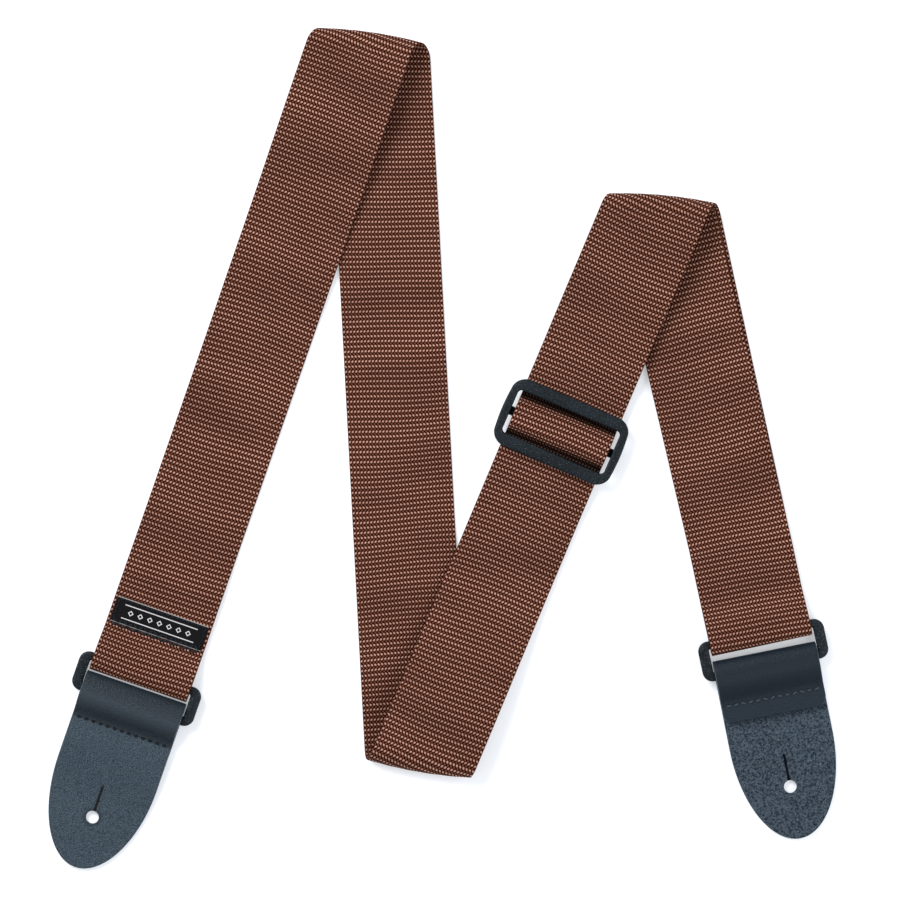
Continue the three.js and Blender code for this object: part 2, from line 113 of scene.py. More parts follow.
CORNER = 5  # radius of the corners at the flap's end
LABEL_SIZE = (47.6, 12.8)
LABEL_THICK = 0.6
LABEL_FROM_BAR = 26
SLIDER_SIZE = (63.4, 35.2)
SLIDER_END = 4.4
SLIDER_BULGE = 1.5
SLIDER_BAR = 6.3
SLIDER_THICK = 3.6
SLIDER_CORNER = 6.5
SLIDER_Z = 5.8
CENTRE_BAR = (4.6, 2.8)
CENTRE_BAR_Z = 5.2
SLIDER_FROM_FOLD = 117.6
SLIDER_TURN = -0.6
HUMP_BELOW = 46
HUMP_ABOVE = 26
CLIMB = 10.8
CLIMB_LOW = 9.4
ROLL_FLAT = 4.4  # half the length that lies level over the centre bar, in the visual webbing
ROLL_DOWN = 9.9
GROOVE = 9.2  # from the slider's middle to the full painted shade of the grooves beside its outer bars
GROOVE_END = 14
TAIL_CLIMB = 9.6
HUMP_RISE = 14
LEVEL_LENGTH = 26
HUMP_SLACK = 0.5
TAIL_DOWN = 11
TAIL_LENGTH = 24
TAIL_Z = 1.15
BAR_FLAT = 2.2
TAIL_SEAM_AT = 19
TAIL_STITCH_PITCH = 3.6
# Where the stretches that change length begin to follow the slider, from the folds.
BLEND_FROM_FOLD_2 = 10
BLEND_FROM_FOLD_3 = 12
BLEND_FROM_FOLD_4 = 40

# ---- The weave ----

YARN = 1.693  # across the band, thirty to its width
ROW = 2.46
YARN_STEPS = 3  # mesh columns to a yarn
ROW_STEP = 0.62  # mesh rows, along the band

# ---- The stage, in metres ----

CAMERA_HEIGHT = 2.4
CAMERA_OVER = (0.00379, -0.0005)
VIEW_WIDTH = 0.4455  # of the view at the height of the webbing
WEB_HEIGHT = 0.004
SENSOR = 36  # mm

# ---- Vector helpers ----


def heading(degrees):
    a = math.radians(degrees)
    return np.array([math.sin(a), math.cos(a)])


def right_of(d):
    return np.array([d[1], -d[0]])


def smooth(x, x0, x1, a, b):
    t = np.clip((x - x0) / (x1 - x0), 0, 1)
    return a + (b - a) * t * t * (3 - 2 * t)


# ---- Surfaces: each takes v across and s from 0 to 1 along, and gives points and the distance along ----


def meet(origin, d, c, v, edge):
    """The distance along d at which the threads at v cross a line, and the points there."""
    point, along = edge
    normal = right_of(along)
    start = origin + np.outer(v, c)
    t = ((point - start) @ normal) / (d @ normal)
    return t, start + np.outer(t, d)


def leg(start, end, side, height, at):
    d = end[0] - start[0]
    d = d / np.linalg.norm(d)
    c = right_of(d) * side

    def surface(v, s):
        ta, a = meet(start[0], d, c, v, start)
        tb, b = meet(start[0], d, c, v, end)
        p = a + (b - a) * s[:, None]
        far = [np.abs((p - e[0]) @ right_of(e[1])) for e in (start, end)]
        return np.column_stack([p, height(*far)]), at + ta + (tb - ta) * s

    surface.length = np.linalg.norm(end[0] - start[0])
    return surface


def roll(into, d_in, out, d_out, side, z_in, z_out, at):
    f = into[1]
    outward = right_of(f)
    if outward @ d_in < 0:
        outward = -outward
    c_in = right_of(d_in) * side
    c_out = right_of(d_out) * -side
    radius = abs(z_in - z_out) / 2
    length = math.pi * radius
    slope_in = (d_in @ f) / (d_in @ outward) * length
    slope_out = -(d_out @ f) / (d_out @ outward) * length

    def surface(v, t):
        t_in, p_in = meet(into[0], d_in, c_in, v, into)
        t_out, p_out = meet(out[0], d_out, c_out, v, out)
        a = (p_in - into[0]) @ f
        b = (p_out - into[0]) @ f
        shift = a * (2 * t**3 - 3 * t**2 + 1) + slope_in * (t**3 - 2 * t**2 + t)
        shift = shift + b * (3 * t**2 - 2 * t**3) + slope_out * (t**3 - t**2)
        crown = FOLD_CROWN * (1 - (2 * v / WEB_WIDTH) ** 2) * np.sin(np.pi * t) ** 2
        past = radius * np.sin(np.pi * t) + crown
        p = into[0] + np.outer(shift, f) + np.outer(past, outward)
        z = z_in + (z_out - z_in) * (1 - np.cos(np.pi * t)) / 2
        return np.column_stack([p, z]), at + length * t + t_in * (1 - t) + t_out * t

    surface.length = length
    return surface


def bent(points, place, degrees, at):
    """A band bent in side view: [y, z] points in a frame turned on the surface."""
    path = np.array(points, float)
    steps = np.linalg.norm(np.diff(path, axis=0), axis=1)
    run = np.concatenate([[0], np.cumsum(steps)])
    up = heading(degrees)
    side = right_of(up)

    def surface(v, s):
        y = np.interp(s * run[-1], run, path[:, 0])
        z = np.interp(s * run[-1], run, path[:, 1])
        return np.column_stack([place + np.outer(v, side) + np.outer(y, up), z]), at + s * run[-1]

    surface.length = run[-1]
    return surface


def sampled(y0, y1, steps, height):
    y = np.linspace(y0, y1, steps)
    return list(zip(y, height(y) + 0 * y))


def half_turn(z, reach, room, steps=40):
    a = np.linspace(0, np.pi, steps)
    return list(zip(-reach * np.sin(a), z + room * np.cos(a)))


def loop_path(reach, under_end):
    room = LOOP_ROOM + HALF
    top = lambda y: smooth(y, LOOP_OVER_BAR, LOOP_CLOSED, RING_Z + room, HALF + LAYER)
    under = lambda y: smooth(y, LOOP_OVER_BAR, LOOP_CLOSED, RING_Z - room, HALF)
    path = sampled(LOOP_LENGTH, 0.1, 160, top)
    path += half_turn(RING_Z, reach, room)
    path += sampled(0.1, under_end, 160, under)
    return path[::-1]


# ---- Mesh makers ----


def new_object(name, bm, smooth_faces=True):
    mesh = bpy.data.meshes.new(name)
    bmesh.ops.recalc_face_normals(bm, faces=bm.faces)
    bm.to_mesh(mesh)
    bm.free()
    mesh.polygons.foreach_set("use_smooth", [smooth_faces] * len(mesh.polygons))
    made = bpy.data.objects.new(name, mesh)
    bpy.context.collection.objects.link(made)
    return made


def grid(columns, rows):
    """A grid with its vertex positions set later, and its vertices' column and row numbers."""
    bm = bmesh.new()
    bmesh.ops.create_grid(bm, x_segments=columns - 1, y_segments=rows - 1, size=0.5)
    co = np.array([v.co[:2] for v in bm.verts]) + 0.5
    i = np.rint(co[:, 0] * (columns - 1)).astype(int)
    j = np.rint(co[:, 1] * (rows - 1)).astype(int)
    return bm, i, j


BRIGHT = (0.47, 0.36)  # half the size of a float, in yarns and rows
DIM = (0.42, 0.34)
DIM_HEIGHT = 0.5
LEAN = 0.45
# The rows waver: each is (rows, radians per mm across, radians per mm along).
WAVES = ((0.34, 0.05, 0.019), (0.22, -0.03, 0.013), (0.1, 0.11, 0.05))


def relief(u, v):
    """The height of the woven yarns, from 0 to 1, at u across and v along."""
    def floats(cu, cv, wide, tall):
        odd = np.floor(cv) % 2 * 2 - 1
        fv = cv % 1 - 0.5
        fu = (cu + LEAN * odd * fv) % 1 - 0.5
        return np.clip(1 - (fu / wide) ** 2 - (fv / tall) ** 2, 0, 1)
    cu, cv = u / YARN, v / ROW + sum(a * np.sin(b * u + c * v) for a, b, c in WAVES)
    return np.maximum(floats(cu, cv, *BRIGHT), DIM_HEIGHT * floats(cu + 0.5, cv + 0.5, *DIM))


def strip(name, surface, thickness, section, rows, from_y=None, lift=None, half_width=None):
    """A closed strip round a surface. section is its outline: v across and w through it, from -1 to 1.
    Its cloth map is v and the distance along, or v and the distance back from y = from_y."""
    sv, sw = section
    s_rows = np.concatenate([[0], np.linspace(0, 1, rows), [1]])
    w_rows = np.concatenate([[0], np.ones(rows), [0]])
    bm, i, j = grid(len(sv), len(s_rows))
    mesh = bpy.data.meshes.new(name)
    bm.to_mesh(mesh)
    bm.free()
    s = s_rows[j]
    width = half_width(s) if half_width else np.full(len(s), 1.0)
    v = sv[i] * width
    small = 1e-3
    p, along = surface(v, s)
    dv = surface(v + small, s)[0] - surface(v - small, s)[0]
    ds = surface(v, np.minimum(s + small, 1))[0] - surface(v, np.maximum(s - small, 0))[0]
    normal = np.cross(dv, ds)
    normal /= np.linalg.norm(normal, axis=1)[:, None]
    w = sw[i] * thickness / 2
    if lift is not None:
        w = w + np.sign(sw[i]) * lift(v, along) * (np.abs(sw[i]) > 0.99)
    p = p + normal * (w * w_rows[j])[:, None]
    p[:, :2] += STRAP_AT
    mesh.vertices.foreach_set("co", (p / 1000).astype(np.float32).ravel())
    for name_uv, value in (("uv0", v), ("uv1", along if from_y is None else from_y - along)):
        held = mesh.attributes.new(name_uv, "FLOAT", "POINT")
        held.data.foreach_set("value", value.astype(np.float32))
    bm = bmesh.new()
    bm.from_mesh(mesh)
    bpy.data.meshes.remove(mesh)
    bmesh.ops.remove_doubles(bm, verts=bm.verts, dist=2e-6)
    made = new_object(name, bm)
    lay_uv(made.data)
    return made


def lay_uv(mesh):
    """Makes the cloth UV map, in millimetres across and along, from the vertices' own values."""
    corner = np.empty(len(mesh.loops), np.int32)
    mesh.loops.foreach_get("vertex_index", corner)
    flat = np.empty((len(corner), 2), np.float32)
    for axis in (0, 1):
        value = np.empty(len(mesh.vertices), np.float32)
        held = mesh.attributes["uv%d" % axis]
        held.data.foreach_get("value", value)
        flat[:, axis] = value[corner]
    for axis in (0, 1):
        mesh.attributes.remove(mesh.attributes["uv%d" % axis])
    layer = mesh.uv_layers.new(name="cloth")
    layer.uv.foreach_set("vector", flat.ravel())


def web_section():
    """Right round the band: flat faces and half-round selvedges."""
    columns = round(WEB_WIDTH / YARN) * YARN_STEPS
    edge = WEB_WIDTH / 2
    flat = edge - HALF * 0.7
    top = np.linspace(-flat, flat, columns + 1)
    a = np.radians([60, 20, -20, -60])
    round_off = flat + (edge - flat) * np.cos(a)
    v = np.concatenate([top, round_off, top[::-1], -round_off, [-flat]])
    w = np.concatenate([0 * top + 1, np.sin(a), 0 * top - 1, -np.sin(a), [1]])
    return v, w


def webbing(name, surface, body):
    """One stretch of the band, in place of the solid model's node of that name."""
    depth = bpy.context.scene.strap.weave_depth
    lift = lambda v, along: depth * (relief(v, along) - 0.6)
    rows = max(int(surface.length / ROW_STEP), 8)
    made = strip(name + "_weave", surface, WEB - 0.2, web_section(), rows, lift=lift)
    made.data.materials.append(material("webbing"))
    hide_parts(name)
    if isinstance(body, str):
        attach(made, body)
    else:
        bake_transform(made)
    return made


# ---- Materials ----


class Nodes:
    """Short calls for building a material's nodes."""

    def __init__(self, name):
        self.material = bpy.data.materials.new(name)
        self.material.use_nodes = True
        self.tree = self.material.node_tree
        self.shader = self.tree.nodes["Principled BSDF"]

    def put(self, socket, value):
        if isinstance(value, bpy.types.NodeSocket):
            self.tree.links.new(value, socket)
        else:
            socket.default_value = value

    def add(self, kind, *inputs, **settings):
        node = self.tree.nodes.new(kind)
        for key, value in settings.items():
            setattr(node, key, value)
        for socket, value in zip(node.inputs, inputs):
            if value is not None:
                self.put(socket, value)
        return node

    def math(self, operation, *inputs):
        return self.add("ShaderNodeMath", *inputs, operation=operation).outputs[0]

    def noise(self, vector, scale, detail=3.0, roughness=0.55):
        node = self.add("ShaderNodeTexNoise")
        self.put(node.inputs["Vector"], vector)
        node.inputs["Scale"].default_value = scale
        node.inputs["Detail"].default_value = detail
        node.inputs["Roughness"].default_value = roughness
        return node.outputs["Fac"]

    def span(self, value, low, high, to_low=0.0, to_high=1.0):
        ends = (value, low, high, to_low, to_high)
        return self.add("ShaderNodeMapRange", *ends, interpolation_type="SMOOTHSTEP").outputs[0]

    def mix(self, factor, a, b):
        node = self.tree.nodes.new("ShaderNodeMix")
        node.data_type = "RGBA"
        for socket, value in zip((node.inputs[0], node.inputs[6], node.inputs[7]), (factor, a, b)):
            self.put(socket, value)
        return node.outputs[2]

    def object(self):
        return self.tree.nodes.new("ShaderNodeTexCoord").outputs["Object"]

    def uv(self):
        node = self.tree.nodes.new("ShaderNodeUVMap")
        node.uv_map = "cloth"
        split = self.add("ShaderNodeSeparateXYZ", node.outputs[0])
        return split.outputs[0], split.outputs[1]

    def bump(self, height, distance, strength=1.0):
        node = self.tree.nodes.new("ShaderNodeBump")
        self.put(node.inputs["Height"], height)
        node.inputs["Distance"].default_value = distance
        node.inputs["Strength"].default_value = strength
        self.put(self.shader.inputs["Normal"], node.outputs[0])

    def set(self, **values):
        for key, value in values.items():
            self.put(self.shader.inputs[key.replace("_", " ").title().replace("Ior", "IOR")], value)


def rgb(red, green, blue):
    """A colour from its sRGB values, 0 to 255."""
    shares = (red / 255, green / 255, blue / 255)
    linear = [c / 12.92 if c <= 0.04045 else ((c + 0.055) / 1.055) ** 2.4 for c in shares]
    return (*linear, 1.0)


def webbing_material(n):
    u, v = n.uv()
    cu = n.math("DIVIDE", u, YARN)
    cv = n.math("DIVIDE", v, ROW)
    for size, per_u, per_v in WAVES:
        phase = n.math("ADD", n.math("MULTIPLY", u, per_u), n.math("MULTIPLY", v, per_v))
        cv = n.math("ADD", cv, n.math("MULTIPLY", n.math("SINE", phase), size))

    def floats(cu, cv, wide, tall):
        odd = n.math("MULTIPLY_ADD", n.math("FLOORED_MODULO", n.math("FLOOR", cv), 2.0), 2.0, -1.0)
        fv = n.math("SUBTRACT", n.math("FRACT", cv), 0.5)
        lean = n.math("MULTIPLY", n.math("MULTIPLY", odd, fv), LEAN)
        fu = n.math("SUBTRACT", n.math("FRACT", n.math("ADD", cu, lean)), 0.5)
        a = n.math("POWER", n.math("DIVIDE", n.math("ABSOLUTE", fu), wide), 2.0)
        b = n.math("POWER", n.math("DIVIDE", n.math("ABSOLUTE", fv), tall), 2.0)
        return n.math("MAXIMUM", n.math("SUBTRACT", n.math("SUBTRACT", 1.0, a), b), 0.0)

    bright = floats(cu, cv, *BRIGHT)
    dim = floats(n.math("ADD", cu, 0.5), n.math("ADD", cv, 0.5), *DIM)
    height = n.math("MAXIMUM", bright, n.math("MULTIPLY", dim, DIM_HEIGHT))
    wide = n.add("ShaderNodeCombineXYZ", n.math("MULTIPLY", u, 0.012), n.math("MULTIPLY", v, 0.045), 0.0)
    band = n.noise(wide.outputs[0], 1.0, 2.0)
    thread = n.add("ShaderNodeCombineXYZ", n.math("MULTIPLY", u, 9.0), n.math("MULTIPLY", v, 1.6), 0.0)
    fibre = n.noise(thread.outputs[0], 1.0, 2.0)
    # Painted shade: the crevices between the floats are painted near black, and the floats themselves take the
    # middle brown.
    base = n.mix(n.span(height, 0.1, 0.55), rgb(30, 3, 0), rgb(103, 62, 47))
    # Painted highlight: the tops of the bright floats are painted pale, more so where the large bands are
    # lighter.
    tip_highlight_amount = n.math("MULTIPLY", n.span(bright, 0.35, 1.0), n.math("MULTIPLY_ADD", band, 0.7, 0.42))
    painted_tip_highlight = n.mix(tip_highlight_amount, base, rgb(194, 151, 135))
    shade = n.math("MULTIPLY_ADD", band, 0.55, 0.73)
    speck = n.math("MULTIPLY_ADD", fibre, 0.35, 0.82)
    tint = n.math("MULTIPLY", shade, speck)
    color = n.add("ShaderNodeVectorMath", painted_tip_highlight, operation="SCALE")
    # Painted shade: the webbing in the grooves beside the slider's outer bars is painted up to nine tenths
    # darker.
    lit = n.math("MULTIPLY_ADD", attribute(n, "groove_shade"), -0.9, 1.0)
    n.put(color.inputs["Scale"], n.math("MULTIPLY", tint, lit))
    n.set(base_color=color.outputs[0], roughness=n.math("MULTIPLY_ADD", fibre, -0.2, 0.75))
    n.put(n.shader.inputs["Specular IOR Level"], n.math("MULTIPLY", height, 0.1))
    n.bump(n.math("ADD", height, n.math("MULTIPLY", fibre, 0.2)), 0.0004, 0.9)


def attribute(n, name):
    node = n.tree.nodes.new("ShaderNodeAttribute")
    node.attribute_name = name
    return node.outputs["Fac"]


def leather_material(n):
    """Pebbled grain on the smooth face, short nap on the suede face, a paler raw edge, and needle holes
    painted near black as shade.
    """
    place = n.object()
    x, from_fold = n.uv()
    cells = n.tree.nodes.new("ShaderNodeTexVoronoi")
    cells.inputs["Scale"].default_value = 1150.0
    n.put(cells.inputs["Vector"], place)
    pores = n.noise(place, 900.0, 4.0)
    speck = n.noise(place, 2200.0, 2.0, 0.6)
    cloud = n.noise(place, 28.0, 3.0)
    nap = n.noise(place, 1000.0, 5.0, 0.75)
    grain = n.math("ADD", n.math("MULTIPLY", cells.outputs["Distance"], 0.8), n.math("MULTIPLY", pores, 0.5))
    side, cut = attribute(n, "suede"), attribute(n, "cut")
    smooth_color = n.mix(n.span(cloud, 0.3, 0.7), rgb(30, 42, 52), rgb(35, 48, 57))
    smooth_color = n.mix(n.span(grain, 0.55, 0.15, 0.0, 0.4), smooth_color, rgb(18, 26, 33))
    smooth_color = n.mix(n.span(speck, 0.42, 0.6, 0.0, 0.95), smooth_color, rgb(68, 82, 93))
    # Painted shade: between the fold and the seam the leather is painted darker as shade, and it is also made
    # smoother.
    smoother_and_painted_shade = n.span(from_fold, STITCH_FROM_FOLD - 0.5, STITCH_FROM_FOLD + 1, 0.75, 0.0)
    smooth_color = n.mix(smoother_and_painted_shade, smooth_color, rgb(12, 20, 27))
    # Painted highlight: the top of the fold is painted paler, and a button's head has left a darker ring round
    # the hole.
    painted_crest_highlight = n.math("MULTIPLY", n.span(from_fold, 4, 11), n.span(from_fold, 19, 13))
    smooth_color = n.mix(n.math("MULTIPLY", painted_crest_highlight, 0.18), smooth_color, rgb(84, 97, 108))
    from_hole = n.math("SUBTRACT", from_fold, HOLE_FROM_FOLD)
    out = n.math("ADD", n.math("MULTIPLY", x, x), n.math("MULTIPLY", from_hole, from_hole))
    smooth_color = n.mix(n.span(n.math("SQRT", out), 5.4, 4.2, 0.0, 0.4), smooth_color, rgb(14, 23, 30))
    nap_color = n.mix(n.span(nap, 0.4, 0.6), rgb(25, 35, 44), rgb(71, 82, 93))
    scuff = n.span(n.noise(place, 1300.0, 3.0, 0.7), 0.57, 0.7, 0.0, 0.6)
    nap_color = n.mix(scuff, nap_color, rgb(118, 129, 142))
    color = n.mix(side, smooth_color, nap_color)
    # Painted shade: end B's flap is painted darker than the same leather elsewhere.
    color = n.mix(attribute(n, "flap"), color, rgb(15, 27, 38))
    color = n.mix(n.math("MULTIPLY", cut, n.span(nap, 0.3, 0.6, 0.35, 0.9)), color, rgb(120, 130, 138))
    # Painted shade: the slit between its lips and the needle holes of the seam are painted near black.
    slit = n.math("MULTIPLY", n.span(n.math("ABSOLUTE", x), 0.8, 0.55), n.span(from_fold, 51.8, 52.3))
    slit = n.math("MULTIPLY", slit, n.span(from_fold, HOLE_FROM_FOLD, HOLE_FROM_FOLD - 0.5))
    color = n.mix(n.math("MULTIPLY", slit, 0.92), color, rgb(2, 3, 4))
    # Painted shade: each needle hole is painted near black, and the bump sinks it too.
    column = n.math("FRACT", n.math("ADD", n.math("DIVIDE", x, STITCH_PITCH), 0.5))
    dx = n.math("MULTIPLY", n.math("SUBTRACT", column, 0.5), STITCH_PITCH / 1.1)
    dy = n.math("DIVIDE", n.math("SUBTRACT", from_fold, STITCH_FROM_FOLD), 0.85)
    apart = n.math("SQRT", n.math("ADD", n.math("MULTIPLY", dx, dx), n.math("MULTIPLY", dy, dy)))
    inside = n.span(n.math("ABSOLUTE", x), STITCH_LENGTH / 2 + 2, STITCH_LENGTH / 2 + 1.9)
    hole = n.math("MULTIPLY", n.span(apart, 1.0, 0.7), inside)
    color = n.mix(n.math("MULTIPLY", hole, 0.9), color, rgb(3, 4, 6))
    n.set(base_color=color)
    smooth_rough = n.math("MULTIPLY_ADD", grain, 0.15, 0.48)
    smooth_rough = n.math("SUBTRACT", smooth_rough, n.math("MULTIPLY", smoother_and_painted_shade, 0.15))
    n.set(roughness=n.math("ADD", smooth_rough, n.math("MULTIPLY", side, 0.4)))
    n.put(n.shader.inputs["Specular IOR Level"], n.math("MULTIPLY_ADD", side, -0.14, 0.2))
    height = n.math("MULTIPLY", grain, n.math("SUBTRACT", 1.0, side))
    height = n.math("ADD", height, n.math("MULTIPLY", nap, side))
    height = n.math("SUBTRACT", height, n.math("MULTIPLY", hole, 1.6))
    n.bump(height, 0.0003, 0.75)


def plastic_material(n):
    place = n.object()
    speck = n.noise(place, 1500.0, 3.0)
    cloud = n.noise(place, 90.0, 3.0)
    color = n.mix(n.span(cloud, 0.35, 0.7), rgb(5, 13, 18), rgb(13, 23, 30))
    # Painted glints: bright specks are painted into the colour as glints of the textured plastic.
    n.set(base_color=n.mix(n.span(speck, 0.54, 0.68, 0.0, 0.7), color, rgb(60, 72, 81)))
    n.set(roughness=n.math("MULTIPLY_ADD", speck, 0.3, 0.35))
    n.shader.inputs["Specular IOR Level"].default_value = 0.2
    n.bump(n.math("ADD", speck, n.math("MULTIPLY", cloud, 0.6)), 0.00012, 0.5)


def thread_material(n, dark=(4, 6, 9), light=(26, 33, 40)):
    place = n.object()
    twist = n.tree.nodes.new("ShaderNodeTexWave")
    twist.bands_direction = "DIAGONAL"
    twist.inputs["Scale"].default_value = 900.0
    n.put(twist.inputs["Vector"], place)
    n.set(base_color=n.mix(twist.outputs["Fac"], rgb(*dark), rgb(*light)), roughness=0.55)
    n.shader.inputs["Specular IOR Level"].default_value = 0.2
    n.bump(twist.outputs["Fac"], 0.0001, 0.7)


def label_material(n):
    """A woven label: fine ribs, and a plain pattern of pale lines and diamonds that stands for its print."""
    u, v = n.uv()
    rib = n.math("SINE", n.math("MULTIPLY", u, 2 * math.pi / 0.42))
    weft = n.math("SINE", n.math("MULTIPLY", v, 2 * math.pi / 0.3))
    weave = n.math("MULTIPLY_ADD", n.math("MULTIPLY", rib, weft), 0.5, 0.5)
    fine = n.noise(n.object(), 700.0, 2.0)
    color = n.mix(weave, rgb(6, 6, 9), rgb(25, 25, 29))
    column = n.math("FRACT", n.math("ADD", n.math("DIVIDE", u, 5.0), 0.5))
    du = n.math("ABSOLUTE", n.math("SUBTRACT", column, 0.5))
    diamond = n.math("ADD", n.math("MULTIPLY", du, 5.0), n.math("ABSOLUTE", v))
    mark = n.span(diamond, 1.55, 1.35)
    inner = n.span(diamond, 0.75, 0.95)
    inside = n.span(n.math("ABSOLUTE", u), 17.6, 17.4)
    mark = n.math("MULTIPLY", n.math("MULTIPLY", mark, inner), inside)
    line = n.math("ABSOLUTE", n.math("SUBTRACT", n.math("ABSOLUTE", v), 3.4))
    line = n.math("MULTIPLY", n.span(line, 0.28, 0.18), n.span(n.math("ABSOLUTE", u), 19.0, 18.8))
    edge = n.span(n.math("ABSOLUTE", v), LABEL_SIZE[1] / 2 - 0.45, LABEL_SIZE[1] / 2 - 0.2)
    edge = n.math("MULTIPLY", edge, 0.55)
    pale = n.math("MAXIMUM", n.math("MAXIMUM", mark, line), edge)
    pale = n.math("MULTIPLY", pale, n.math("MULTIPLY_ADD", weave, 0.25, 0.75))
    color = n.mix(pale, color, rgb(222, 222, 224))
    n.set(base_color=color, roughness=0.8)
    n.shader.inputs["Specular IOR Level"].default_value = 0.1
    n.bump(n.math("ADD", weave, fine), 0.00012, 0.8)


MAKERS = {
    "webbing": webbing_material,
    "leather": leather_material,
    "plastic": plastic_material,
    "thread": thread_material,
    "worn_thread": lambda n: thread_material(n, (10, 17, 24), (76, 88, 100)),
    "label": label_material,
}


def material(name):
    made = bpy.data.materials.get("strap_" + name)
    if not made:
        n = Nodes("strap_" + name)
        MAKERS[name](n)
        made = n.material
    return made


# ---- Layout: lines, directions and heights that several pieces share ----


class Layout:
    def __init__(self):
        up1, down2, up3, down4 = [heading(180 - a if i % 2 else a) for i, a in enumerate(LEG_ANGLES)]
        self.up = (up1, down2, up3, down4)
        bisect = lambda a, b: (a + b) / np.linalg.norm(a + b)
        lines = [bisect(up1, down2), bisect(down2, up3), bisect(up3, down4)]
        self.into = [(np.array(p), f) for p, f in zip(FOLDS_IN, lines)]
        self.out = [(p + f * shift, f) for (p, f), shift in zip(self.into, FOLD_SHIFTS)]
        self.up_b = heading(-RING_B_TURN)
        a, b = np.array(RING_A_AT), np.array(RING_B_AT)
        self.end_a = (a + up1 * LOOP_LENGTH, right_of(up1))
        self.end_b = (b + self.up_b * LOOP_LENGTH, right_of(self.up_b))
        self.slider = self.into[2][0] - up3 * SLIDER_FROM_FOLD
        self.hump_low = (self.slider - up3 * HUMP_BELOW, right_of(up3))
        self.hump_high = (self.slider + up3 * HUMP_ABOVE, right_of(up3))
        self.over = HALF + LAYER
        self.return_z = TAIL_Z + LAYER
        self.hump_z = self.return_z + LAYER
        self.top = [HALF + 2 * r for r in FOLD_RADII]

    def rise(self, low, top):
        notch = SLIDER_FROM_FOLD - HUMP_ABOVE
        down = lambda from_fold: smooth(from_fold, 0, notch - LEVEL_LENGTH, top, low + LAYER)
        return lambda from_fold, from_hump: down(from_fold) - smooth(from_hump, 0, HUMP_RISE, LAYER, 0)


def at3(p, z=0.0):
    return (float(p[0] + STRAP_AT[0]) / 1000, float(p[1] + STRAP_AT[1]) / 1000, z / 1000)


class Band:
    """Lays the band's stretches end to end. length is the band's length before the next one."""

    def __init__(self):
        self.length = 0

    def lay(self, name, body, shape, *where):
        surface = shape(*where, self.length)
        self.length += surface.length
        return webbing(name, surface, body)


